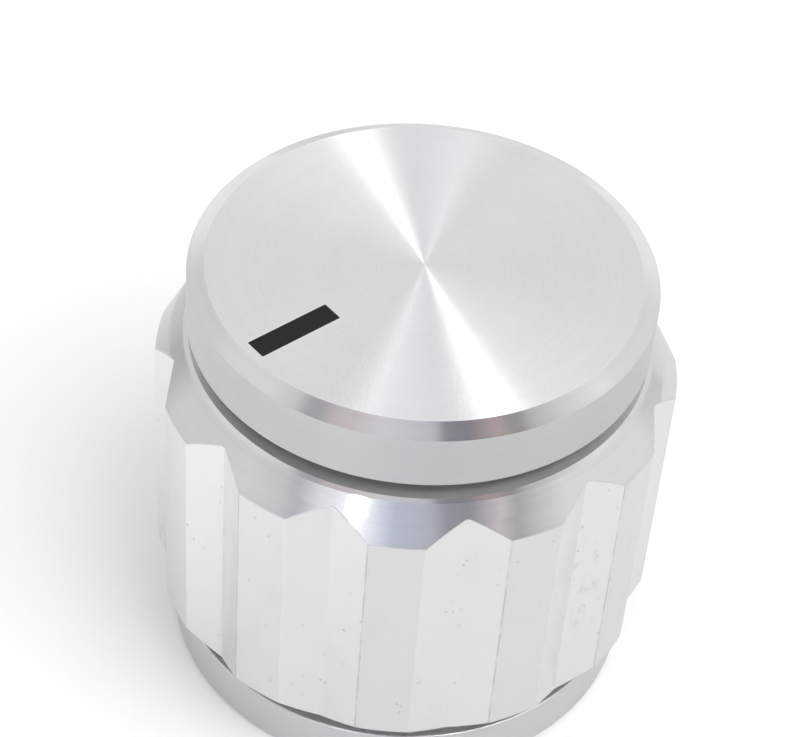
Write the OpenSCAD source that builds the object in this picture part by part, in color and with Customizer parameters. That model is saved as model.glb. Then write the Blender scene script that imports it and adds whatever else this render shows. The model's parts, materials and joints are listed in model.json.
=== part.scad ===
// Control knob turned from fluted aluminium bar, held on a plain shaft by a set screw.
// The shaft axis is Z. The knob stands on its base ring at z = 0, with the pointer line towards -Y.
// All lengths are in millimetres and all angles in degrees.

/* [Base ring] */
// Distance of the base ring's wall in from the lands
base_step = 0.55; // [0.3:0.05:0.9]
// Height of the base ring
base_h = 1.73; // [1.2:0.01:2.2]
// Chamfer on the base ring's lower edge
base_chamfer = 0.13; // [0.05:0.01:0.4]
// Width of the groove between the base ring and the grip
base_groove_w = 0.43; // [0.2:0.01:0.8]
// Depth of that groove, from the base ring's wall
base_groove_depth = 0.6; // [0.3:0.05:0.8]
// Thickness of the base ring round the recess for the control's fixing nut
base_wall = 1.45; // [1.1:0.05:2]

/* [Fluted grip] */
// Diameter across the lands between the flutes
grip_d = 16; // [15.6:0.1:20]
// Length of the straight lands
land_h = 8.41; // [6.5:0.01:12]
// Width and height of the chamfer below the lands
lower_chamfer = 0.54; // [0.3:0.01:0.8]
// Number of V-shaped flutes round the grip
flutes = 12; // [8:1:14]
// Width of a flute between the edges of its lands
flute_w = 2.52; // [1.6:0.02:3.2]
// Depth of a flute's valley below the lands
flute_depth = 0.525; // [0.3:0.005:0.7]
// Angle from the pointer line round to the flute beside it
flute_phase = 1.6; // [0:0.1:15]

/* [Shoulder and cap] */
// Width of the conical shoulder above the lands, measured across
shoulder_w = 0.9; // [0.5:0.01:1.2]
// Height of the conical shoulder
shoulder_h = 1.06; // [0.6:0.01:1.6]
// Width of the groove under the cap
cap_groove_w = 0.59; // [0.3:0.01:0.9]
// Depth of that groove, from the cap's wall
cap_groove_depth = 1; // [0.5:0.05:1.5]
// Distance of the cap's wall in from the lands
cap_step = 0.95; // [0.6:0.05:1.4]
// Height of the cap, with its chamfer
cap_h = 2.04; // [1.6:0.01:3]
// Width of the chamfer round the top face, measured across
cap_chamfer_w = 0.52; // [0.2:0.01:0.8]
// Height of the chamfer round the top face
cap_chamfer_h = 0.27; // [0.1:0.01:0.6]

/* [Pointer line] */
// Length of the pointer line
pointer_l = 2.78; // [1.5:0.01:4]
// Width of the pointer line
pointer_w = 0.7; // [0.4:0.01:1.2]
// Distance from the pointer's outer end to the edge of the top face
pointer_margin = 0.28; // [0.1:0.01:1]
// Depth of the slot that holds the paint
pointer_depth = 0.2; // [0.1:0.01:0.4]
// Distance of the paint below the top face
paint_recess = 0.02; // [0.01:0.01:0.06]

/* [Shaft bore] */
// Diameter of the shaft that the knob fits
shaft_d = 6; // [4:0.05:6.4]
// Clearance between the shaft and the bore, on the radius
shaft_clearance = 0.025; // [0.01:0.005:0.05]
// Length of the bore's straight wall above its lead-in
bore_l = 7.6; // [6:0.1:8]
// Lead-in chamfer at the bore's mouth
bore_chamfer = 0.4; // [0.1:0.05:0.8]
// Point angle of the drill that made the bore
drill_angle = 118; // [90:1:140]
// Depth of the recess for the control's fixing nut
nut_recess_h = 2.5; // [1:0.1:3]

/* [Set screw] */
// Thread diameter of the set screw
screw_d = 3; // [2:0.1:4]
// Distance of the screw's socket end below the valley that it stands in
screw_sink = 0.35; // [0.1:0.05:0.8]
// Height of the set screw's axis above the base
screw_z = 6; // [5.2:0.1:8]
// Clearance round the thread, on the radius
thread_clearance = 0.02; // [0.01:0.005:0.05]
// Distance of the screw's tip from the bore's wall
tip_gap = 0.1; // [0.05:0.01:0.2]
// Size of the hexagon key across its flats
hex_af = 1.5; // [0.9:0.1:1.6]
// Depth of the hexagon socket
hex_depth = 1.6; // [1:0.1:1.8]
// Diameter of the cup in the screw's tip
cup_d = 1.3; // [0.8:0.1:1.4]
// Width of the rim round the cup
cup_rim = 0.2; // [0.1:0.02:0.25]
// Chamfer at the socket's end of the screw
screw_chamfer = 0.25; // [0.1:0.01:0.3]

/* [Hidden] */
$fn = 96;

// Length by which a cut runs past the face that it opens
cut_past = 0.5;
// Share of a groove's width at which the flutes' cut ends inside that groove
groove_middle = 0.5;
// How many times its own depth a flute's cutter reaches out from the valley
cutter_reach = 3;
// Sides of the key's hexagon
hex_sides = 6;

grip_r = grip_d / 2;
base_r = grip_r - base_step;
base_groove_r = base_r - base_groove_depth;
nut_recess_r = base_r - base_wall;
shoulder_r = grip_r - shoulder_w;
cap_r = grip_r - cap_step;
cap_groove_r = cap_r - cap_groove_depth;
top_face_r = cap_r - cap_chamfer_w;
valley_r = grip_r - flute_depth;
flute_pitch = 360 / flutes;

grip_z = base_h + base_groove_w;
land_z = grip_z + lower_chamfer;
land_top_z = land_z + land_h;
shoulder_top_z = land_top_z + shoulder_h;
cap_z = shoulder_top_z + cap_groove_w;
knob_h = cap_z + cap_h;

bore_r = shaft_d / 2 + shaft_clearance;
bore_wall_z = nut_recess_h + bore_chamfer;
bore_end_z = bore_wall_z + bore_l;
bore_tip_z = bore_end_z + bore_r / tan(drill_angle / 2);

screw_r = screw_d / 2;
screw_hole_r = screw_r + thread_clearance;
screw_tip_r = bore_r + tip_gap;
screw_l = valley_r - screw_sink - screw_tip_r;
cup_r = cup_d / 2;
point_r = cup_r + cup_rim;
// The set screw stands in the valley that lies farthest from the pointer
screw_angle = flute_phase + floor(flutes / 2) * flute_pitch;

pointer_y = -(top_face_r - pointer_margin);
paint_h = pointer_depth - paint_recess;

// Half section of the turned outside, from the base up to the top face
module turned_outside() {
    rotate_extrude()
        polygon([
            [0, 0],
            [base_r - base_chamfer, 0],
            [base_r, base_chamfer],
            [base_r, base_h],
            [base_groove_r, base_h],
            [base_groove_r, grip_z],
            [grip_r - lower_chamfer, grip_z],
            [grip_r, land_z],
            [grip_r, land_top_z],
            [shoulder_r, shoulder_top_z],
            [cap_groove_r, shoulder_top_z],
            [cap_groove_r, cap_z],
            [cap_r, cap_z],
            [cap_r, knob_h - cap_chamfer_h],
            [top_face_r, knob_h],
            [0, knob_h]
        ]);
}

// Half section of the nut recess, the lead-in, the bore and its drill point
module turned_inside() {
    rotate_extrude()
        polygon([
            [0, -cut_past],
            [nut_recess_r, -cut_past],
            [nut_recess_r, nut_recess_h],
            [bore_r + bore_chamfer, nut_recess_h],
            [bore_r, bore_wall_z],
            [bore_r, bore_end_z],
            [0, bore_tip_z]
        ]);
}

// One V-shaped cutter towards -Y, its edge on the valley line and its sides through the lands' edges
module flute_cutter() {
    half_w = flute_w / 2;
    edge_rise = sqrt(grip_r * grip_r - half_w * half_w) - valley_r;
    cut_z = grip_z - base_groove_w * groove_middle;
    cut_top_z = shoulder_top_z + cap_groove_w * groove_middle;
    outer_y = -(valley_r + cutter_reach * edge_rise);
    outer_x = cutter_reach * half_w;
    translate([0, 0, cut_z])
        linear_extrude(cut_top_z - cut_z)
            polygon([[0, -valley_r], [-outer_x, outer_y], [outer_x, outer_y]]);
}

// The flutes stand all round the grip, counted from the one beside the pointer line
module flute_cutters() {
    for (i = [0 : flutes - 1])
        rotate([0, 0, flute_phase + i * flute_pitch])
            flute_cutter();
}

// Turns a shape made along Z into one that points out of the knob in the screw's direction
module along_screw() {
    translate([0, 0, screw_z])
        rotate([0, 0, screw_angle])
            rotate([90, 0, 0])
                children();
}

// A bar of the pointer line's size whose top lies the given distance below the top face
module pointer_bar(below_top, height) {
    translate([-pointer_w / 2, pointer_y, knob_h - below_top - height])
        cube([pointer_w, pointer_l, height]);
}

module knob_body() {
    color("gainsboro")
        difference() {
            turned_outside();
            turned_inside();
            flute_cutters();
            along_screw()
                cylinder(r = screw_hole_r, h = grip_r + cut_past);
            pointer_bar(-cut_past, pointer_depth + cut_past);
        }
}

module pointer_line() {
    color("black")
        pointer_bar(paint_recess, paint_h);
}

// Cup-point set screw with a hexagon socket, its tip facing the shaft
module set_screw() {
    hex_corner_d = hex_af / cos(180 / hex_sides);
    color("dimgray")
        along_screw()
            translate([0, 0, screw_tip_r])
                difference() {
                    rotate_extrude()
                        polygon([
                            [0, cup_r],
                            [cup_r, 0],
                            [point_r, 0],
                            [screw_r, screw_r - point_r],
                            [screw_r, screw_l - screw_chamfer],
                            [screw_r - screw_chamfer, screw_l],
                            [0, screw_l]
                        ]);
                    translate([0, 0, screw_l - hex_depth])
                        cylinder(d = hex_corner_d, h = hex_depth + cut_past, $fn = hex_sides);
                }
}

knob_body();
pointer_line();
set_screw();
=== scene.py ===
"""Looks of the fluted aluminium control knob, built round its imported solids.

Lengths are in metres, or in millimetres where a comment says so. The photograph's frame is the knob's frame
turned to the camera: x to the right, y away from the camera, z up.
"""

import json
import math

import bpy
from mathutils import Matrix, Vector

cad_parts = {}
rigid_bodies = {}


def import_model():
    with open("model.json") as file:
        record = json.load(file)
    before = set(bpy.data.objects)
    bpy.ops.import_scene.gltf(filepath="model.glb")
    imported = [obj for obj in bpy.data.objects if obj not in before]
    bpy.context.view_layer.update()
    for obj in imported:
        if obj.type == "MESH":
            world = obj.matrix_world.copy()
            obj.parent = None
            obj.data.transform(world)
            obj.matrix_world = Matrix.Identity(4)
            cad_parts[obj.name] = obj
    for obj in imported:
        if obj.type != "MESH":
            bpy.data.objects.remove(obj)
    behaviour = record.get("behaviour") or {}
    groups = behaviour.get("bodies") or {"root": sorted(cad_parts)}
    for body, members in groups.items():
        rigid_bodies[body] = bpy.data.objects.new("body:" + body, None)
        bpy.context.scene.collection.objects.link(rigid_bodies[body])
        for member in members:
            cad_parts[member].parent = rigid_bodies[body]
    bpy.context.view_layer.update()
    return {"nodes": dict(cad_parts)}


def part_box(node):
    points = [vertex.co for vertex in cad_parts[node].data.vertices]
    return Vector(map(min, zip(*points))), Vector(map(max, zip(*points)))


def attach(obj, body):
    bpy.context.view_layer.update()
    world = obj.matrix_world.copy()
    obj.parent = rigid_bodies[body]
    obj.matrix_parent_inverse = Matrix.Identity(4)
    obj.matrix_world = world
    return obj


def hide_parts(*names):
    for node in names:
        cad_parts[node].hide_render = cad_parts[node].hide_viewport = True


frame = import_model()

MM = 0.001

# Sizes of the turned body in millimetres, as its solid has them
GRIP_R = 8.0
BASE_R = GRIP_R - 0.55
BASE_H = 1.73
BASE_CHAMFER = 0.13
BASE_GROOVE_R = BASE_R - 0.6
NUT_RECESS_R = BASE_R - 1.45
NUT_RECESS_H = 2.5
GRIP_Z = BASE_H + 0.43
LOWER_CHAMFER = 0.54
LAND_Z = GRIP_Z + LOWER_CHAMFER
LAND_TOP_Z = LAND_Z + 8.41
SHOULDER_W = 0.9
SHOULDER_TOP_Z = LAND_TOP_Z + 1.06
CAP_R = GRIP_R - 0.95
CAP_Z = SHOULDER_TOP_Z + 0.59
CAP_GROOVE_R = CAP_R - 1.0
KNOB_H = CAP_Z + 2.04
CAP_CHAMFER_W = 0.52
CAP_CHAMFER_H = 0.27
TOP_FACE_R = CAP_R - CAP_CHAMFER_W
BORE_R = 3.025
BORE_WALL_Z = NUT_RECESS_H + 0.4
BORE_END_Z = BORE_WALL_Z + 7.6
DRILL_POINT = math.radians(118)
BORE_TIP_Z = BORE_END_Z + BORE_R / math.tan(DRILL_POINT / 2)

# Flutes round the grip in millimetres, counted from the one beside the pointer line
FLUTES = 12
FLUTE_HALF_W = 1.26
FLUTE_DEPTH = 0.525
FLUTE_PHASE = math.radians(1.6)
FLUTE_PITCH = 2 * math.pi / FLUTES
VALLEY_R = GRIP_R - FLUTE_DEPTH

# Half the angle between the two edges of a flute, seen from the shaft axis
RIDGE_ANGLE = math.asin(FLUTE_HALF_W / GRIP_R)

# Small forms that the solid leaves out, in millimetres. The cone is fullest between two shares of its way
# down, and the edge above it is broken inwards along the ledge and outwards along the cone.
SHOULDER_FULLNESS = 0.02
SHOULDER_FULLEST = (0.44, 0.54)
SHOULDER_EDGE = (0.09, 0.055)
BASE_EDGE = 0.04
EDGE_BREAK = 0.03
NOSE_WIDTH = 0.06

# Thread rings in the set screw's hole, in millimetres
THREAD_PITCH = 0.5
THREAD_DEPTH = 0.18
THREAD_CLEARANCE = 0.02

# How finely the body is meshed, which edges are broken, and how it is shaded
SPIN_STEPS = 360
HOLE_STEPS = 64
EDGE_BREAK_SEGMENTS = 2
NOSE_SEGMENTS = 4
EDGE_BREAK_ANGLE = math.radians(26.5)
SMOOTH_ANGLE = math.radians(35)
NORMAL_WEIGHT = 80

# How far the cutters go past what they cut, in millimetres, and how many times a flute's width its cutter is
CUT_PAST = 0.5
CUTTER_REACH = 3

# Tolerances in the mesh, in millimetres: for merging points, finding a place and telling zones apart
MERGE_WITHIN = 0.0005
SAME_PLACE = 0.005
ZONE_MARGIN = 0.01
RECESS_MARGIN = 0.1

# How much of a face's normal points up, at least in the first three and at most on an upright face, and how
# much of a land's points outwards at least
FLAT_UP = 0.99
CHAMFER_UP = 0.5
CONE_UP = 0.3
UPRIGHT = 0.1
LAND_OUT = 0.9995

# The photograph's camera: its pixel frame, focal length, and where the top face's centre shows
FRAME_PX = (805, 737)
FOCAL_PX = 2449.0
TOP_CENTRE_PX = (424.8, 264.65)
VIEW_AZIMUTH = math.radians(47.7)
VIEW_ELEVATION = math.radians(43.89)
VIEW_ROLL = math.radians(-4.63)
VIEW_DISTANCE_MM = 72.63
SENSOR_MM = 36.0
CLIP_START = 0.001

# The metal's own tint, the painted shade deep in the grooves, and the greys of specks and burrs
METAL_TINT = (0.995, 1.0, 1.005)
GROOVE_PAINTED_SHADE = (0.17, 0.16, 0.145, 1.0)
SPECK_GREY = 0.2
BURR_GREY = 0.3

# Turned metal: how much fine and slow rings count, the rings' middle tone, smudges and fine sparkle. Light
# spreads across the rings, a quarter turn from the tangent.
FINE_RINGS = 0.6
SLOW_RINGS = 0.4
RINGS_MIDDLE = 0.99
TURNED_SMUDGE = 0.08
TURNED_SMUDGE_SHADE = 0.6
SPARKLE_SCALE = 45.0
ACROSS_RINGS = 0.25

# Drawn metal: its fine lines and grain, smudges and specks, and the broken burr line, whose width is in
# radians round the knob and which never fades below its steady share
DRAW_STRETCH = (1.0, 1.0, 0.05)
DRAW_SCALE = 9.0
DRAW_SHOW = 0.015
DRAW_RELIEF = 1.2e-6
LINES_IN_RELIEF = 0.6
GRAIN_IN_RELIEF = 0.4
GRAIN_IN_ROUGHNESS = 0.1
DRAWN_SMUDGE = 0.05
DRAWN_SMUDGE_SHADE = 0.5
DRAWN_SPECKS = 0.55
BURR_WIDTH = (0.0022, 0.006)
BURR_STRETCH = (0.3, 0.3, 1.0)
BURR_SCALE = 1.6
BURR_BREAKS = (0.35, 0.6)
BURR_STEADY = 0.4

# The pointer's paint, its dust and its grain, and the screw's blackened steel, its rubbed places and its
# specks. Each roughness is given by what the grain adds and what it adds to.
PAINT_GREYS = (0.008, 0.02, 0.012)
PAINT_ROUGHNESS = (0.2, 0.5)
PAINT_SPECULAR = 0.2
STEEL_GREYS = (0.06, 0.22, 0.3)
STEEL_ROUGHNESS = (0.25, 0.3)
FINE_RELIEF = 4e-6

# The middle of the facet that is handled most, in millimetres
HANDLED_SPOT = (7.6, 0.8, 7.2)

# The turned finishes, with the rings' pitch in millimetres along the knob's radius or height. Painted shade
# in a groove, standing in for the shade inside it, is given by the radii in millimetres where it is deepest
# and where it ends, and by its strength.
TURNED_FINISHES = {
    "spun_face": {
        "colour": 0.9,
        "roughness": 0.34,
        "anisotropy": 1.0,
        "along": "Radius",
        "pitch": 0.09,
        "relief": 1.2e-6,
        "grain": 4.0,
        "sparkle": 0.35,
    },
    "bright_cut": {
        "colour": 0.75,
        "roughness": 0.1,
        "anisotropy": 0.3,
        "along": "Radius",
        "pitch": 0.12,
        "relief": 3e-7,
        "rings_show": 0.07,
    },
    "cap_groove": {
        "colour": 0.86,
        "roughness": 0.5,
        "anisotropy": 0.0,
        "along": "Radius",
        "pitch": 0.12,
        "relief": 8e-7,
        "groove_painted_shade": (6.5, 6.85, 0.45),
    },
    "base_groove": {
        "colour": 0.84,
        "roughness": 0.42,
        "anisotropy": 0.0,
        "along": "Radius",
        "pitch": 0.12,
        "relief": 8e-7,
        "groove_painted_shade": (6.9, 7.35, 0.25),
    },
    "satin_turned": {
        "colour": 0.625,
        "roughness": 0.42,
        "anisotropy": 0.6,
        "along": "Height",
        "pitch": 0.1,
        "relief": 2e-6,
        "grain": 1.0,
        "dark": 0.3,
    },
    # Painted light: the base ring's satin is a lighter copy of satin_turned, standing in for more light on
    # the ring
    "base_satin_painted_lighter": {
        "colour": 0.71,
        "roughness": 0.42,
        "anisotropy": 0.6,
        "along": "Height",
        "pitch": 0.1,
        "relief": 2e-6,
        "grain": 1.0,
        "dark": 0.3,
    },
}

# The drawn finishes of the grip
DRAWN_FINISHES = {
    "land": {"colour": 0.8, "roughness": 0.3, "dirt": 0.15, "burr": 0.0},
    "flute": {"colour": 0.86, "roughness": 0.2, "dirt": 0.5, "burr": 0.42},
}

# The light tent's opening as metal sees it: the way to its middle in the photograph's frame, and its stripes
# by the angle across it in degrees. Below the heights of LOW_PART it shows the low stripes. Heights and
# places in the tent are parts of a direction of length 1.
OPENING_MIDDLE = (0.0, -0.892, 0.451)
OPENING_SPAN = 80.0
OPENING_STRIPES = [
    (-60, (1.0, 1.0, 1.0)),
    (-46, (0.82, 0.82, 0.82)),
    (-41, (0.52, 0.52, 0.54)),
    (-35, (0.52, 0.51, 0.54)),
    (-31, (0.72, 0.65, 0.66)),
    (-21, (0.78, 0.7, 0.73)),
    (-11, (0.83, 0.83, 0.87)),
    (9, (0.66, 0.66, 0.7)),
    (13, (0.31, 0.31, 0.36)),
    (23, (0.28, 0.27, 0.3)),
    (31, (0.48, 0.39, 0.39)),
    (35, (0.5, 0.4, 0.4)),
    (39, (0.34, 0.33, 0.32)),
    (43, (0.35, 0.34, 0.34)),
    (47, (0.58, 0.57, 0.57)),
    (60, (0.78, 0.78, 0.78)),
    (80, (1.0, 1.0, 1.0)),
]
LOW_STRIPES = [
    (-60, (0.92, 0.92, 0.92)),
    (-45, (0.79, 0.79, 0.79)),
    (-40, (0.63, 0.63, 0.68)),
    (-36, (0.75, 0.75, 0.8)),
    (-31, (0.97, 0.97, 1.0)),
    (-15, (1.25, 1.25, 1.3)),
    (-8, (0.82, 0.86, 0.97)),
    (-3, (0.62, 0.65, 0.77)),
    (8, (0.58, 0.6, 0.68)),
    (15, (0.38, 0.38, 0.44)),
    (23, (0.34, 0.34, 0.39)),
    (35, (0.72, 0.66, 0.67)),
    (41, (0.48, 0.48, 0.49)),
    (50, (0.7, 0.7, 0.7)),
    (60, (0.9, 0.9, 0.9)),
]
LOW_PART = (0.64, 0.74)

# The way to the tent's bright side, how much dimmer the other side is, and where one turns into the other
TENT_BRIGHT_SIDE = (0.8, -0.6, 0.0)
TENT_DIM_SIDE = 0.15
TENT_DIM_TURN = (-0.9, 0.6)

# The shade in the tent's low corners behind the knob, on the left and on the right, and where it lies
CORNER_SHADE = (0.27, 0.16)
CORNER_ACROSS = (-0.5, 0.5)
CORNER_BACK = (0.25, 0.5)
CORNER_HEIGHT = (0.15, 0.35)

# The tent's low back wall and where it lies
BACK_WALL = 1.02
BACK_WALL_BACK = (0.6, 0.85)
BACK_WALL_HEIGHT = (0.25, 0.5)

# The tent as it lights what isn't metal, and as the camera sees it
TENT_LIGHT = 0.92
BACKGROUND = 1.0

# The floor's own grey, then the painted shade that metal sees on it: its darker greys in metal on the left of
# the knob, behind it on the left and on its right, and where one turns into the next. In a wedge straight
# behind the knob it is as on the right, and far back there metal sees a painted glow, as if it rose into the
# back wall.
FLOOR_GREY = 0.9
FLOOR_PAINTED_SHADES_IN_METAL = (0.84, 0.62, 0.72)
FLOOR_BACK_TURN = (0.015, 0.04)
FLOOR_RIGHT_TURN = (-0.02, -0.002)
FLOOR_WEDGE = 0.8
FLOOR_STRAIGHT_BACK = (0.03, 0.1)
FLOOR_PAINTED_GLOW = (0.06, 0.14, 0.0, 0.28)

# Lamps that face the cap from a direction in the photograph's frame, with their power in watts
LAMPS = {
    "main_lamp": {
        "direction": (0.46, -0.36, 0.81),
        "distance": 0.3,
        "size": (0.25, 0.25),
        "energy": 0.44,
        "in_metal": False,
    },
    "streak_panel": {
        "direction": (0.46, -0.36, 0.81),
        "distance": 0.29,
        "size": (0.08, 0.08),
        "energy": 0.3,
        "in_metal": True,
    },
    "glow_panel": {
        "direction": (0.068, 0.448, 0.892),
        "distance": 0.3,
        "size": (0.12, 0.12),
        "energy": 0.023,
        "in_metal": True,
    },
    "front_strip": {
        "direction": (-0.292, -0.878, 0.383),
        "distance": 0.03,
        "size": (0.0007, 0.012),
        "energy": 0.0009,
        "in_metal": True,
    },
}


def select_only(piece):
    """Makes one piece the only selected and active one."""
    bpy.ops.object.select_all(action="DESELECT")
    piece.select_set(True)
    bpy.context.view_layer.objects.active = piece


def finish_with(piece, kind, **settings):
    """Adds a modifier with these settings and applies it."""
    select_only(piece)
    bpy.ops.object.modifier_add(type=kind)
    modifier = piece.modifiers[-1]
    for name, value in settings.items():
        setattr(modifier, name, value)
    bpy.ops.object.modifier_apply(modifier=modifier.name)


def cut(piece, cutter):
    """Cuts the cutter's shape out of the piece and takes the cutter away."""
    finish_with(piece, "BOOLEAN", object=cutter, operation="DIFFERENCE", solver="EXACT")
    bpy.data.objects.remove(cutter)


def apply_place(piece):
    """Puts the object's place, turn and scale into its mesh."""
    select_only(piece)
    bpy.ops.object.transform_apply(location=True, rotation=True, scale=True)


def on_shoulder(share):
    """A point this share of the way down the cone above the lands, where the lathe left it a little full."""
    return (
        GRIP_R - SHOULDER_W * (1 - share) + SHOULDER_FULLNESS,
        SHOULDER_TOP_Z - (SHOULDER_TOP_Z - LAND_TOP_Z) * share + SHOULDER_FULLNESS,
    )


def shoulder_edge():
    """The two ends of the broken edge between the groove's ledge and the cone, from the ledge down."""
    inner, outer = SHOULDER_EDGE
    drop = outer * (SHOULDER_TOP_Z - LAND_TOP_Z) / SHOULDER_W
    return [
        (GRIP_R - SHOULDER_W - inner, SHOULDER_TOP_Z),
        (GRIP_R - SHOULDER_W + outer, SHOULDER_TOP_Z - drop),
    ]


def body_profile():
    """The body's half section, from the top's centre down the outside and up the bore to its drill point."""
    return [
        (0, KNOB_H),
        (TOP_FACE_R, KNOB_H),
        (CAP_R, KNOB_H - CAP_CHAMFER_H),
        (CAP_R, CAP_Z),
        (CAP_GROOVE_R, CAP_Z),
        (CAP_GROOVE_R, SHOULDER_TOP_Z),
        *shoulder_edge(),
        *(on_shoulder(share) for share in SHOULDER_FULLEST),
        (GRIP_R, LAND_TOP_Z),
        (GRIP_R, LAND_Z),
        (GRIP_R - LOWER_CHAMFER, GRIP_Z),
        (BASE_GROOVE_R, GRIP_Z),
        (BASE_GROOVE_R, BASE_H),
        (BASE_R - BASE_EDGE, BASE_H),
        (BASE_R, BASE_H - BASE_EDGE),
        (BASE_R, BASE_CHAMFER),
        (BASE_R - BASE_CHAMFER, 0),
        (NUT_RECESS_R, 0),
        (NUT_RECESS_R, NUT_RECESS_H),
        (BORE_R + BORE_WALL_Z - NUT_RECESS_H, NUT_RECESS_H),
        (BORE_R, BORE_WALL_Z),
        (BORE_R, BORE_END_Z),
        (0, BORE_TIP_Z),
    ]


def draw_chain(name, points):
    """Starts a piece as a chain of edges through these points, left in edit mode with all of it selected."""
    bpy.ops.object.select_all(action="DESELECT")
    bpy.ops.mesh.primitive_plane_add(size=1)
    piece = bpy.context.object
    piece.name = name
    bpy.ops.object.mode_set(mode="EDIT")
    bpy.ops.mesh.select_mode(type="VERT")
    bpy.ops.mesh.select_all(action="SELECT")
    bpy.ops.mesh.merge(type="CENTER")
    bpy.ops.transform.translate(value=points[0])
    for start, end in zip(points, points[1:]):
        bpy.ops.mesh.extrude_vertices_move(TRANSFORM_OT_translate={"value": end - start})
    bpy.ops.mesh.select_all(action="SELECT")
    return piece


def close_mesh():
    """Merges doubles, drops empty faces, turns all faces outwards and leaves edit mode."""
    bpy.ops.mesh.select_mode(type="VERT")
    bpy.ops.mesh.select_all(action="SELECT")
    bpy.ops.mesh.remove_doubles(threshold=MERGE_WITHIN)
    bpy.ops.mesh.dissolve_degenerate(threshold=MERGE_WITHIN)
    bpy.ops.mesh.select_all(action="SELECT")
    bpy.ops.mesh.normals_make_consistent(inside=False)
    bpy.ops.object.mode_set(mode="OBJECT")


def select_edges(piece, wanted):
    """Selects, in edit mode, the edges whose two ends are both wanted."""
    bpy.ops.mesh.select_mode(type="EDGE")
    bpy.ops.mesh.select_all(action="DESELECT")
    bpy.ops.object.mode_set(mode="OBJECT")
    for edge in piece.data.edges:
        edge.select = all(wanted(piece.data.vertices[i].co) for i in edge.vertices)
    bpy.ops.object.mode_set(mode="EDIT")


def select_faces(piece, wanted):
    """Selects, in edit mode, the faces that are wanted."""
    bpy.ops.mesh.select_mode(type="FACE")
    bpy.ops.mesh.select_all(action="DESELECT")
    bpy.ops.object.mode_set(mode="OBJECT")
    for face in piece.data.polygons:
        face.select = wanted(face)
    bpy.ops.object.mode_set(mode="EDIT")


def on_ring(point, r, z):
    """Whether a point lies on the ring of this radius and height."""
    return abs(point.xy.length - r) < SAME_PLACE and abs(point.z - z) < SAME_PLACE


def keep_sharp(piece, rings):
    """Marks the turned edges through these points of the section as sharp."""
    select_only(piece)
    bpy.ops.object.mode_set(mode="EDIT")
    for r, z in rings:
        select_edges(piece, lambda point: on_ring(point, r, z))
        bpy.ops.mesh.mark_sharp()
    bpy.ops.object.mode_set(mode="OBJECT")


def is_top(face):
    """Whether a face is part of the knob's flat top."""
    return face.normal.z > FLAT_UP and face.center.z > KNOB_H - ZONE_MARGIN


def turned_blank():
    """The body before its flutes: its section drawn point by point and spun, and its top made one face."""
    blank = draw_chain("turned_body", [Vector((r, 0, z)) for r, z in body_profile()])
    bpy.ops.mesh.spin(steps=SPIN_STEPS, angle=2 * math.pi, center=(0, 0, 0), axis=(0, 0, 1))
    close_mesh()
    bpy.ops.object.mode_set(mode="EDIT")
    select_faces(blank, is_top)
    bpy.ops.mesh.dissolve_faces()
    bpy.ops.object.mode_set(mode="OBJECT")
    return blank


def break_edges(piece):
    """Breaks the sharp edges. The one at the foot of the cap's chamfer stays as the tool left it."""
    chamfer_foot = KNOB_H - CAP_CHAMFER_H
    select_only(piece)
    bpy.ops.object.mode_set(mode="EDIT")
    bpy.ops.mesh.select_mode(type="EDGE")
    bpy.ops.mesh.select_all(action="DESELECT")
    bpy.ops.mesh.edges_select_sharp(sharpness=EDGE_BREAK_ANGLE)
    bpy.ops.object.mode_set(mode="OBJECT")
    for edge in piece.data.edges:
        ends = [piece.data.vertices[i].co for i in edge.vertices]
        if all(abs(end.z - chamfer_foot) < SAME_PLACE for end in ends):
            edge.select = False
    bpy.ops.object.mode_set(mode="EDIT")
    bpy.ops.mesh.bevel(
        offset=EDGE_BREAK,
        segments=EDGE_BREAK_SEGMENTS,
        affect="EDGES",
        clamp_overlap=True,
        miter_outer="ARC",
    )
    bpy.ops.object.mode_set(mode="OBJECT")


def flute_cutters():
    """V-shaped tools all round the grip.

    Each has its rounded nose in a valley, and its sides go through the edges of the lands.
    """
    edge_rise = math.sqrt(GRIP_R**2 - FLUTE_HALF_W**2) - VALLEY_R
    low = (BASE_H + GRIP_Z) / 2
    high = (SHOULDER_TOP_Z + CAP_Z) / 2
    nose = Vector((0, -VALLEY_R, low))
    side = Vector((FLUTE_HALF_W, -edge_rise, 0)) * CUTTER_REACH
    other_side = Vector((-side.x, side.y, 0))
    cutter = draw_chain("flute_cutter", [nose + side, nose, nose + other_side])
    bpy.ops.mesh.edge_face_add()
    bpy.ops.mesh.extrude_region_move(TRANSFORM_OT_translate={"value": (0, 0, high - low)})
    select_edges(cutter, lambda point: abs(point.x) < SAME_PLACE)
    bpy.ops.mesh.bevel(offset=NOSE_WIDTH, segments=NOSE_SEGMENTS, affect="EDGES")
    close_mesh()
    cutter.rotation_euler.z = FLUTE_PHASE
    for _ in range(FLUTES - 1):
        bpy.ops.object.duplicate()
        bpy.context.object.rotation_euler.z += FLUTE_PITCH
    bpy.ops.object.select_pattern(pattern="flute_cutter*", extend=False)
    bpy.ops.object.join()
    joined = bpy.context.object
    apply_place(joined)
    return joined


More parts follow.
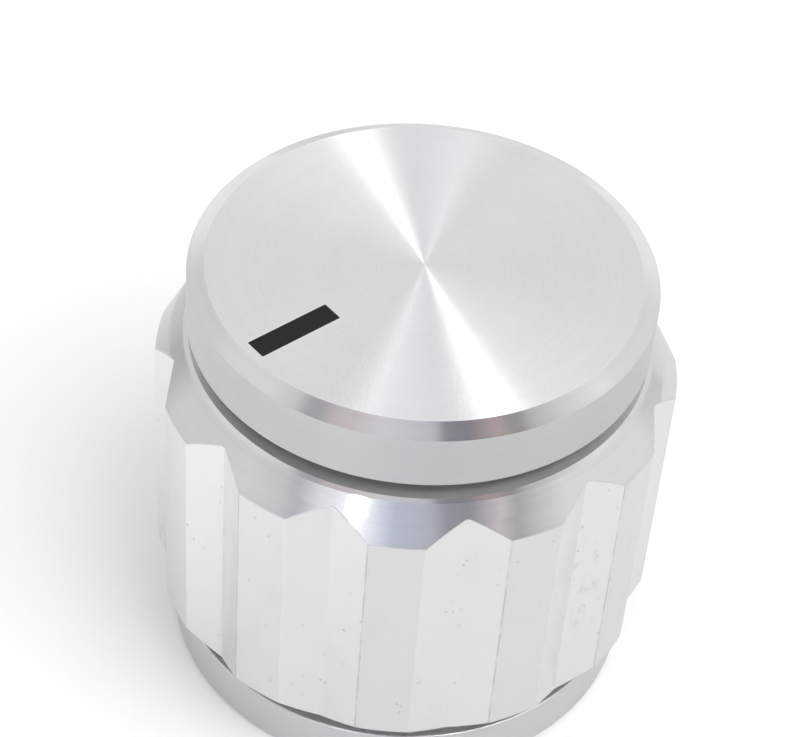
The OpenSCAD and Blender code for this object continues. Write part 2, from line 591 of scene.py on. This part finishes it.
def screw_hole_cutter():
    """The tapped cross hole on the set screw's own axis, from the shaft axis out past the lands."""
    low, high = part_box("set_screw")
    middle = (low + high) / (2 * MM)
    out = Vector((middle.x, middle.y, 0)).normalized()
    radius = (high.z - low.z) / (2 * MM) + THREAD_CLEARANCE
    length = GRIP_R + CUT_PAST
    points = [Vector((0, 0, 0)), Vector((radius, 0, 0))]
    for turn in range(int(length / THREAD_PITCH)):
        groove = (turn + 0.5) * THREAD_PITCH
        points.append(Vector((radius, 0, groove - THREAD_DEPTH)))
        points.append(Vector((radius + THREAD_DEPTH, 0, groove)))
        points.append(Vector((radius, 0, groove + THREAD_DEPTH)))
    points.append(Vector((radius, 0, length)))
    points.append(Vector((0, 0, length)))
    cutter = draw_chain("screw_hole_cutter", points)
    bpy.ops.mesh.spin(steps=HOLE_STEPS, angle=2 * math.pi, center=(0, 0, 0), axis=(0, 0, 1))
    close_mesh()
    cutter.rotation_euler = out.to_track_quat("Z", "Y").to_euler()
    cutter.location.z = middle.z
    apply_place(cutter)
    return cutter


def pointer_slot_cutter():
    """The slot that holds the pointer's paint, open at the top."""
    low, high = (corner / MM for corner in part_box("pointer_line"))
    top = KNOB_H + CUT_PAST
    bpy.ops.object.select_all(action="DESELECT")
    bpy.ops.mesh.primitive_cube_add(size=1)
    cutter = bpy.context.object
    cutter.scale = (high.x - low.x, high.y - low.y, top - low.z)
    cutter.location = ((low.x + high.x) / 2, (low.y + high.y) / 2, (low.z + top) / 2)
    apply_place(cutter)
    return cutter


def zone_of(face):
    """Which finish a face of the body has, by its place and the way it faces."""
    r = math.hypot(face.center.x, face.center.y)
    z, up = face.center.z, face.normal.z
    if is_top(face):
        return "spun_face"
    if KNOB_H - CAP_CHAMFER_H < z < KNOB_H and up > CHAMFER_UP:
        return "bright_cut"
    if LAND_TOP_Z < z < SHOULDER_TOP_Z and up > CONE_UP:
        return "bright_cut"
    if SHOULDER_TOP_Z - ZONE_MARGIN < z < CAP_Z + ZONE_MARGIN and r < CAP_R:
        return "cap_groove"
    if BASE_H - ZONE_MARGIN < z < GRIP_Z + ZONE_MARGIN and r < BASE_R:
        return "base_groove"
    if GRIP_Z < z < SHOULDER_TOP_Z and abs(up) < UPRIGHT and r > VALLEY_R - ZONE_MARGIN:
        outward = Vector((face.center.x, face.center.y, 0)).normalized()
        return "land" if face.normal.dot(outward) > LAND_OUT else "flute"
    # The base ring takes the lighter copy of the satin, which is painted light
    if z < BASE_H and r > NUT_RECESS_R + RECESS_MARGIN:
        return "base_satin_painted_lighter"
    return "satin_turned"


def clean_cuts(piece):
    """Tidies a mesh that has just been cut."""
    select_only(piece)
    bpy.ops.object.mode_set(mode="EDIT")
    close_mesh()


def turned_body(finishes):
    """The whole body: blank, flutes, pointer slot, broken edges, cross hole and one finish for each zone."""
    body = turned_blank()
    cut(body, flute_cutters())
    cut(body, pointer_slot_cutter())
    clean_cuts(body)
    break_edges(body)
    cut(body, screw_hole_cutter())
    clean_cuts(body)
    keep_sharp(body, shoulder_edge())
    order = list(finishes)
    for finish in finishes.values():
        body.data.materials.append(finish)
    for face in body.data.polygons:
        face.material_index = order.index(zone_of(face))
    select_only(body)
    bpy.ops.object.shade_smooth_by_angle(angle=SMOOTH_ANGLE, keep_sharp_edges=True)
    finish_with(body, "WEIGHTED_NORMAL", keep_sharp=True, weight=NORMAL_WEIGHT)
    body.scale = (MM, MM, MM)
    apply_place(body)
    return body


def feed(tree, socket, value):
    """Gives an input either another node's output or a value of its own."""
    if isinstance(value, bpy.types.NodeSocket):
        tree.links.new(value, socket)
    else:
        socket.default_value = value


def add(tree, kind, inputs=None, **settings):
    """Adds a node with these settings of its own, and feeds its named inputs."""
    node = tree.nodes.new(kind)
    for name, value in settings.items():
        setattr(node, name, value)
    for name, value in (inputs or {}).items():
        feed(tree, node.inputs[name], value)
    return node


def number(tree, operation, *values):
    """A Math node's result."""
    node = add(tree, "ShaderNodeMath", operation=operation)
    for socket, value in zip(node.inputs, values):
        feed(tree, socket, value)
    return node.outputs[0]


def vector(tree, operation, *values):
    """A Vector Math node's vector."""
    node = add(tree, "ShaderNodeVectorMath", operation=operation)
    for socket, value in zip(node.inputs, values):
        feed(tree, socket, value)
    return node.outputs["Vector"]


def length_of(tree, value):
    """A vector's length."""
    return add(tree, "ShaderNodeVectorMath", {0: value}, operation="LENGTH").outputs["Value"]


def reach_along(tree, value, way):
    """How far a vector reaches along a direction."""
    return add(tree, "ShaderNodeVectorMath", {0: value, 1: way}, operation="DOT_PRODUCT").outputs["Value"]


def between(tree, value, low, high, to_low=0.0, to_high=1.0):
    """A value carried smoothly from one span to another and kept inside it."""
    node = add(tree, "ShaderNodeMapRange", interpolation_type="SMOOTHSTEP")
    for socket, given in zip(node.inputs, (value, low, high, to_low, to_high)):
        feed(tree, socket, given)
    return node.outputs["Result"]


def mixed(tree, share, start, end):
    """Two colours mixed by a share. The node's sockets share their names, so its colours go by number."""
    node = add(tree, "ShaderNodeMix", data_type="RGBA")
    for index, value in ((0, share), (6, start), (7, end)):
        feed(tree, node.inputs[index], value)
    return node.outputs[2]


def noise(tree, place, scale, detail=2.0):
    """A noise texture's value in three dimensions."""
    node = add(tree, "ShaderNodeTexNoise", {"Vector": place, "Scale": scale, "Detail": detail})
    return node.outputs["Fac"]


def ring_noise(tree, turns, scale, detail):
    """A noise texture's value along one dimension."""
    inputs = {"W": turns, "Scale": scale, "Detail": detail}
    return add(tree, "ShaderNodeTexNoise", inputs, noise_dimensions="1D").outputs["Fac"]


def grey(value, tint=(1.0, 1.0, 1.0)):
    """A grey of this value, tinted."""
    return (value * tint[0], value * tint[1], value * tint[2], 1.0)


def new_group(name, inputs, outputs):
    """An empty shader node group with its named inputs, all of them numbers, and its named outputs."""
    group = bpy.data.node_groups.new(name, "ShaderNodeTree")
    for label, start in inputs.items():
        socket = group.interface.new_socket(label, in_out="INPUT", socket_type="NodeSocketFloat")
        socket.default_value = start
    for label, kind in outputs.items():
        group.interface.new_socket(label, in_out="OUTPUT", socket_type=kind)
    return group, group.nodes.new("NodeGroupInput"), group.nodes.new("NodeGroupOutput")


def place_on_knob_group():
    """A point's place on the knob in millimetres, its radius, its height and its angle from a valley."""
    outputs = {
        "Place": "NodeSocketVector",
        "Radius": "NodeSocketFloat",
        "Height": "NodeSocketFloat",
        "From Valley": "NodeSocketFloat",
    }
    group, _, out = new_group("place_on_knob", {}, outputs)
    object_place = add(group, "ShaderNodeTexCoord").outputs["Object"]
    scaled = add(group, "ShaderNodeVectorMath", {"Vector": object_place, "Scale": 1 / MM}, operation="SCALE")
    place = scaled.outputs["Vector"]
    axes = add(group, "ShaderNodeSeparateXYZ", {"Vector": place})
    radius = length_of(group, vector(group, "MULTIPLY", place, (1, 1, 0)))
    angle = number(group, "ARCTAN2", axes.outputs["X"], number(group, "MULTIPLY", axes.outputs["Y"], -1))
    from_first = number(group, "SUBTRACT", angle, FLUTE_PHASE)
    from_valley = number(group, "WRAP", from_first, FLUTE_PITCH / 2, -FLUTE_PITCH / 2)
    feed(group, out.inputs["Place"], place)
    feed(group, out.inputs["Radius"], radius)
    feed(group, out.inputs["Height"], axes.outputs["Z"])
    feed(group, out.inputs["From Valley"], from_valley)


def lathe_rings_group():
    """Rings left by the lathe tool along a given length: their relief, and a slower change of tone."""
    outputs = {"Relief": "NodeSocketFloat", "Tone": "NodeSocketFloat"}
    group, given, out = new_group("lathe_rings", {"Along": 0.0, "Pitch": 0.1}, outputs)
    turns = number(group, "DIVIDE", given.outputs["Along"], given.outputs["Pitch"])
    feed(group, out.inputs["Relief"], ring_noise(group, turns, scale=1.0, detail=3.0))
    feed(group, out.inputs["Tone"], ring_noise(group, turns, scale=0.12, detail=2.0))


def handling_marks_group():
    """Small dark specks and soft smudges left by handling, and the fine grain of the metal."""
    inputs = {"Specks": 0.5, "Speck Size": 0.1, "Smudges": 0.5}
    outputs = {"Dirt": "NodeSocketFloat", "Smudge": "NodeSocketFloat", "Grain": "NodeSocketFloat"}
    group, given, out = new_group("handling_marks", inputs, outputs)
    place = place_group(group, "place_on_knob").outputs["Place"]

    # Ragged specks, a little longer than wide, one at most in each cell
    wavy = add(group, "ShaderNodeTexNoise", {"Vector": place, "Scale": 5.0, "Detail": 2.0})
    ragged = vector(group, "MULTIPLY_ADD", wavy.outputs["Color"], (0.25, 0.25, 0.25), place)
    drawn_out = vector(group, "MULTIPLY", ragged, (1.0, 1.0, 0.6))
    cells = add(group, "ShaderNodeTexVoronoi", {"Vector": drawn_out, "Scale": 4.5, "Randomness": 1.0})
    chance = add(group, "ShaderNodeSeparateColor", {"Color": cells.outputs["Color"]})
    size = number(group, "MULTIPLY", given.outputs["Speck Size"], chance.outputs["Green"])
    inner = number(group, "MULTIPLY", size, 0.4)
    dot = between(group, cells.outputs["Distance"], inner, size, to_low=1.0, to_high=0.0)
    strength = number(group, "MULTIPLY_ADD", chance.outputs["Blue"], 0.7, 0.3)
    faint = number(group, "MULTIPLY", dot, strength)

    # Specks come in patches, and most of them near the spot that is handled most
    patchy = noise(group, place, scale=0.55, detail=1.0)
    patches = between(group, patchy, 0.48, 0.66, to_low=0.08, to_high=1.8)
    off_spot = vector(group, "MULTIPLY", vector(group, "SUBTRACT", place, HANDLED_SPOT), (1.0, 1.0, 0.4))
    from_spot = length_of(group, off_spot)
    near_spot = between(group, from_spot, 0.6, 1.8, to_low=0.9, to_high=0.0)
    handled = number(group, "MAXIMUM", patches, near_spot)
    likely = number(group, "MULTIPLY", given.outputs["Specks"], handled)
    present = number(group, "LESS_THAN", chance.outputs["Red"], likely)
    specks = number(group, "MULTIPLY", faint, present)

    # Smears on that spot, and soft smudges everywhere
    smeary = noise(group, drawn_out, scale=3.5, detail=5.0)
    smear = between(group, smeary, 0.52, 0.74, to_low=0.0, to_high=0.4)
    smeared = number(group, "MULTIPLY", smear, between(group, from_spot, 0.5, 1.3, to_low=1.0, to_high=0.0))
    cloud = between(group, noise(group, drawn_out, scale=0.7, detail=4.0), 0.5, 0.72)

    feed(group, out.inputs["Dirt"], number(group, "MAXIMUM", specks, smeared))
    feed(group, out.inputs["Smudge"], number(group, "MULTIPLY", cloud, given.outputs["Smudges"]))
    feed(group, out.inputs["Grain"], noise(group, place, scale=14.0))


def new_material(name):
    """A node material with its Principled shader."""
    material = bpy.data.materials.new(name)
    material.use_nodes = True
    return material, material.node_tree, material.node_tree.nodes["Principled BSDF"]


def place_group(tree, name, **inputs):
    """Places a shared node group in a material or in another group."""
    values = {label.replace("_", " "): value for label, value in inputs.items()}
    return add(tree, "ShaderNodeGroup", values, node_tree=bpy.data.node_groups[name])


def raise_surface(tree, shader, height, relief):
    """Raises a material's surface by this height, as a bump of so many metres."""
    bump = add(tree, "ShaderNodeBump", {"Strength": 1.0, "Distance": relief, "Height": height})
    feed(tree, shader.inputs["Normal"], bump.outputs["Normal"])


def turned_finish(
    name,
    colour,
    roughness,
    anisotropy,
    along,
    pitch,
    relief,
    grain=0.0,
    sparkle=0.1,
    dark=0.0,
    groove_painted_shade=None,
    rings_show=0.05,
):
    """Aluminium turned on a lathe: rings round the shaft axis, light spread across them, faint specks,
    painted shade.
    """
    material, tree, shader = new_material(name)
    spot = place_group(tree, "place_on_knob")
    rings = place_group(tree, "lathe_rings", Along=spot.outputs[along], Pitch=pitch)
    marks = place_group(tree, "handling_marks", Specks=0.12, Speck_Size=0.05, Smudges=0.5)
    tangent = add(tree, "ShaderNodeTangent", direction_type="RADIAL", axis="Z")
    feed(tree, shader.inputs["Tangent"], tangent.outputs["Tangent"])
    shader.inputs["Metallic"].default_value = 1.0
    shader.inputs["Anisotropic"].default_value = anisotropy
    shader.inputs["Anisotropic Rotation"].default_value = ACROSS_RINGS
    fine = number(tree, "MULTIPLY", rings.outputs["Relief"], FINE_RINGS)
    tone = number(tree, "MULTIPLY_ADD", rings.outputs["Tone"], SLOW_RINGS, fine)
    dull_ring = grey(colour * (RINGS_MIDDLE - rings_show), METAL_TINT)
    bright_ring = grey(colour * (RINGS_MIDDLE + rings_show), METAL_TINT)
    clean = mixed(tree, tone, dull_ring, bright_ring)
    smudge = number(tree, "MULTIPLY", marks.outputs["Smudge"], TURNED_SMUDGE)
    used = mixed(tree, smudge, clean, grey(colour * TURNED_SMUDGE_SHADE))
    finished = mixed(tree, number(tree, "MULTIPLY", marks.outputs["Dirt"], dark), used, grey(SPECK_GREY))
    # Painted shade: a groove's colour darkens towards its depth, standing in for the shade inside it
    if groove_painted_shade:
        inner, outer, strength = groove_painted_shade
        deep = between(tree, spot.outputs["Radius"], inner, outer, to_low=strength, to_high=0.0)
        finished = mixed(tree, deep, finished, GROOVE_PAINTED_SHADE)
    feed(tree, shader.inputs["Base Color"], finished)
    glitter = noise(tree, spot.outputs["Place"], SPARKLE_SCALE, detail=1.0)
    worn = between(tree, glitter, 0.3, 0.7, roughness * (1 - sparkle), roughness * (1 + sparkle))
    feed(tree, shader.inputs["Roughness"], worn)
    height = number(tree, "MULTIPLY_ADD", marks.outputs["Grain"], grain, rings.outputs["Relief"])
    raise_surface(tree, shader, height, relief)
    return material


def drawn_finish(name, colour, roughness, dirt, burr):
    """Drawn aluminium bar: lines along its length, handling marks and a burr on one edge of each flute."""
    material, tree, shader = new_material(name)
    spot = place_group(tree, "place_on_knob")
    marks = place_group(tree, "handling_marks", Specks=dirt, Speck_Size=0.3, Smudges=1.0)
    lengthwise = vector(tree, "MULTIPLY", spot.outputs["Place"], DRAW_STRETCH)
    draw_lines = noise(tree, lengthwise, DRAW_SCALE, detail=4.0)
    dull_line = grey(colour * (1 - DRAW_SHOW), METAL_TINT)
    bright_line = grey(colour * (1 + DRAW_SHOW), METAL_TINT)
    clean = mixed(tree, draw_lines, dull_line, bright_line)
    smudge = number(tree, "MULTIPLY", marks.outputs["Smudge"], DRAWN_SMUDGE)
    used = mixed(tree, smudge, clean, grey(colour * DRAWN_SMUDGE_SHADE))
    dirty = number(tree, "MULTIPLY", marks.outputs["Dirt"], DRAWN_SPECKS)
    specked = mixed(tree, dirty, used, grey(SPECK_GREY))
    off_ridge = number(tree, "SUBTRACT", spot.outputs["From Valley"], RIDGE_ANGLE)
    ridge = between(tree, number(tree, "ABSOLUTE", off_ridge), *BURR_WIDTH, to_low=1.0, to_high=0.0)
    along_ridge = vector(tree, "MULTIPLY", spot.outputs["Place"], BURR_STRETCH)
    broken = between(tree, noise(tree, along_ridge, BURR_SCALE, detail=4.0), *BURR_BREAKS)
    fading = number(tree, "MULTIPLY_ADD", broken, (1 - BURR_STEADY) * burr, BURR_STEADY * burr)
    line = number(tree, "MULTIPLY", ridge, fading)
    feed(tree, shader.inputs["Base Color"], mixed(tree, line, specked, grey(BURR_GREY)))
    shader.inputs["Metallic"].default_value = 1.0
    smoothest = roughness - GRAIN_IN_ROUGHNESS / 2
    worn = number(tree, "MULTIPLY_ADD", marks.outputs["Grain"], GRAIN_IN_ROUGHNESS, smoothest)
    feed(tree, shader.inputs["Roughness"], worn)
    grain = number(tree, "MULTIPLY", marks.outputs["Grain"], GRAIN_IN_RELIEF)
    height = number(tree, "MULTIPLY_ADD", draw_lines, LINES_IN_RELIEF, grain)
    raise_surface(tree, shader, height, DRAW_RELIEF)
    return material


def pointer_paint():
    """Matt black paint with a fine grain and dust on it."""
    material, tree, shader = new_material("pointer_paint")
    marks = place_group(tree, "handling_marks", Specks=0.3, Speck_Size=0.08, Smudges=1.0)
    black, dust, grain = (grey(value) for value in PAINT_GREYS)
    dusty = mixed(tree, marks.outputs["Smudge"], black, dust)
    feed(tree, shader.inputs["Base Color"], mixed(tree, marks.outputs["Grain"], dusty, grain))
    worn = number(tree, "MULTIPLY_ADD", marks.outputs["Grain"], *PAINT_ROUGHNESS)
    feed(tree, shader.inputs["Roughness"], worn)
    shader.inputs["Specular IOR Level"].default_value = PAINT_SPECULAR
    raise_surface(tree, shader, marks.outputs["Grain"], FINE_RELIEF)
    return material


def screw_steel():
    """Blackened steel, rubbed bright here and there."""
    material, tree, shader = new_material("screw_steel")
    marks = place_group(tree, "handling_marks", Specks=0.6, Speck_Size=0.25, Smudges=1.0)
    black, bright, speck = (grey(value) for value in STEEL_GREYS)
    rubbed = mixed(tree, marks.outputs["Smudge"], black, bright)
    feed(tree, shader.inputs["Base Color"], mixed(tree, marks.outputs["Dirt"], rubbed, speck))
    shader.inputs["Metallic"].default_value = 1.0
    worn = number(tree, "MULTIPLY_ADD", marks.outputs["Grain"], *STEEL_ROUGHNESS)
    feed(tree, shader.inputs["Roughness"], worn)
    raise_surface(tree, shader, marks.outputs["Grain"], FINE_RELIEF)
    return material


def make_camera():
    """The photograph's view, with the top's centre at its pixel, at the fitted distance, angle and roll."""
    data = bpy.data.cameras.new("photo_camera")
    data.sensor_width = SENSOR_MM
    data.lens = FOCAL_PX * SENSOR_MM / FRAME_PX[0]
    data.clip_start = CLIP_START
    ahead = Vector((0, math.cos(VIEW_ELEVATION), -math.sin(VIEW_ELEVATION)))
    right = Vector((1, 0, 0))
    down = ahead.cross(right)
    c, s = math.cos(VIEW_ROLL), math.sin(VIEW_ROLL)
    image_x = c * right + s * down
    image_y = -s * right + c * down
    off_middle = [centre - size / 2 for centre, size in zip(TOP_CENTRE_PX, FRAME_PX)]
    ray = Vector((*off_middle, FOCAL_PX)).normalized()
    reach = VIEW_DISTANCE_MM * MM * (ray.x * image_x + ray.y * image_y + ray.z * ahead)
    turn = Matrix.Rotation(VIEW_AZIMUTH, 4, "Z")
    axes = Matrix((image_x, -image_y, -ahead)).transposed().to_4x4()
    camera = bpy.data.objects.new("photo_camera", data)
    bpy.context.scene.collection.objects.link(camera)
    camera.matrix_world = Matrix.Translation((0, 0, KNOB_H * MM)) @ turn @ Matrix.Translation(-reach) @ axes
    bpy.context.scene.camera = camera


def make_floor():
    """A wide pale floor under the base ring, with painted shade and a far painted glow seen only by metal."""
    bpy.ops.object.select_all(action="DESELECT")
    bpy.ops.mesh.primitive_plane_add(size=2)
    floor = bpy.context.object
    floor.name = "floor"
    material, tree, shader = new_material("pale_floor")
    place = add(tree, "ShaderNodeTexCoord").outputs["Object"]
    across = reach_along(tree, place, (math.cos(VIEW_AZIMUTH), math.sin(VIEW_AZIMUTH), 0))
    back = reach_along(tree, place, (-math.sin(VIEW_AZIMUTH), math.cos(VIEW_AZIMUTH), 0))
    # Painted shade: the greys metal sees on the floor are darker than its own, most on the left and behind it
    on_left, behind_left, on_right = (grey(value) for value in FLOOR_PAINTED_SHADES_IN_METAL)
    left = mixed(tree, between(tree, back, *FLOOR_BACK_TURN), on_left, behind_left)
    off_middle = number(tree, "ABSOLUTE", across)
    straight_back = number(tree, "MULTIPLY_ADD", off_middle, -FLOOR_WEDGE, back)
    behind = between(tree, straight_back, *FLOOR_STRAIGHT_BACK)
    as_on_right = number(tree, "MAXIMUM", between(tree, across, *FLOOR_RIGHT_TURN), behind)
    in_metal = mixed(tree, as_on_right, left, on_right)
    in_mirror = add(tree, "ShaderNodeLightPath").outputs["Is Glossy Ray"]
    feed(tree, shader.inputs["Base Color"], mixed(tree, in_mirror, grey(FLOOR_GREY), in_metal))
    # Painted glow: far behind the knob the floor shines in metal, though it is no lamp
    painted_glow = number(tree, "MULTIPLY", in_mirror, between(tree, straight_back, *FLOOR_PAINTED_GLOW))
    feed(tree, shader.inputs["Emission Color"], painted_glow)
    shader.inputs["Emission Strength"].default_value = 1.0
    shader.inputs["Roughness"].default_value = 1.0
    shader.inputs["Specular IOR Level"].default_value = 0.0
    floor.data.materials.append(material)


def striped(tree, angle, stripes):
    """The opening's colour by the angle across it."""
    ramp = add(tree, "ShaderNodeValToRGB")
    feed(tree, ramp.inputs["Fac"], number(tree, "MULTIPLY_ADD", angle, 1 / (2 * OPENING_SPAN), 0.5))
    stops = ramp.color_ramp.elements
    while len(stops) < len(stripes):
        stops.new(0.5)
    for stop, (degrees, colour) in zip(stops, stripes):
        stop.position = degrees / (2 * OPENING_SPAN) + 0.5
        stop.color = (*colour, 1.0)
    return ramp.outputs["Color"]


def make_world():
    """A white light tent.

    Metal also sees the stripes in the tent's opening round the camera, its dim side, the shade in its low
    corners behind the knob, and its low back wall.
    """
    world = bpy.data.worlds.new("light_tent")
    bpy.context.scene.world = world
    world.use_nodes = True
    tree = world.node_tree
    direction = add(tree, "ShaderNodeTexCoord").outputs["Generated"]
    to_photo = {"Vector": direction, "Angle": -VIEW_AZIMUTH}
    turned = add(tree, "ShaderNodeVectorRotate", to_photo, rotation_type="Z_AXIS").outputs["Vector"]
    axes = add(tree, "ShaderNodeSeparateXYZ", {"Vector": turned})
    across, back, level = (axes.outputs[name] for name in "XYZ")

    ahead = reach_along(tree, turned, OPENING_MIDDLE)
    angle = number(tree, "DEGREES", number(tree, "ARCTAN2", across, ahead))
    low_part = between(tree, level, *LOW_PART, to_low=1.0, to_high=0.0)
    high_stripes = striped(tree, angle, OPENING_STRIPES)
    opening = mixed(tree, low_part, high_stripes, striped(tree, angle, LOW_STRIPES))

    to_bright_side = reach_along(tree, turned, TENT_BRIGHT_SIDE)
    dim = between(tree, to_bright_side, *TENT_DIM_TURN, to_low=TENT_DIM_SIDE, to_high=0.0)
    sides = mixed(tree, dim, opening, grey(0.0))

    low = between(tree, level, *CORNER_HEIGHT, to_low=1.0, to_high=0.0)
    low_corner = number(tree, "MULTIPLY", between(tree, back, *CORNER_BACK), low)
    shade = number(tree, "MULTIPLY", low_corner, between(tree, across, *CORNER_ACROSS, *CORNER_SHADE))
    shaded = mixed(tree, shade, sides, grey(0.0))

    low_wall = between(tree, level, *BACK_WALL_HEIGHT, to_low=1.0, to_high=0.0)
    behind = number(tree, "MULTIPLY", between(tree, back, *BACK_WALL_BACK), low_wall)
    tent = mixed(tree, behind, shaded, grey(BACK_WALL))

    path = add(tree, "ShaderNodeLightPath")
    plain = mixed(tree, path.outputs["Is Camera Ray"], grey(TENT_LIGHT), grey(BACKGROUND))
    seen = mixed(tree, path.outputs["Is Glossy Ray"], plain, tent)
    feed(tree, tree.nodes["Background"].inputs["Color"], seen)


def make_lamp(name, direction, distance, size, energy, in_metal):
    """A soft lamp that faces the cap from this direction, and either shows in metal or lights the rest."""
    data = bpy.data.lights.new(name, "AREA")
    data.shape = "ELLIPSE"
    data.size, data.size_y = size
    data.energy = energy
    lamp = bpy.data.objects.new(name, data)
    bpy.context.scene.collection.objects.link(lamp)
    aim = Vector((0, 0, KNOB_H * MM))
    out = Matrix.Rotation(VIEW_AZIMUTH, 3, "Z") @ Vector(direction).normalized()
    lamp.location = aim + out * distance
    lamp.rotation_euler = out.to_track_quat("Z", "Y").to_euler()
    lamp.visible_camera = False
    lamp.visible_glossy = in_metal
    lamp.visible_diffuse = not in_metal


bpy.context.scene.view_settings.view_transform = "Standard"
make_camera()
make_world()
make_floor()
for lamp_name, lamp_settings in LAMPS.items():
    make_lamp(lamp_name, **lamp_settings)

place_on_knob_group()
lathe_rings_group()
handling_marks_group()
body_finishes = {name: turned_finish(name, **look) for name, look in TURNED_FINISHES.items()}
body_finishes.update({name: drawn_finish(name, **look) for name, look in DRAWN_FINISHES.items()})
body = turned_body(body_finishes)
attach(body, "root")
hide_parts("knob_body")

frame["nodes"]["pointer_line"].data.materials[0] = pointer_paint()
frame["nodes"]["set_screw"].data.materials[0] = screw_steel()
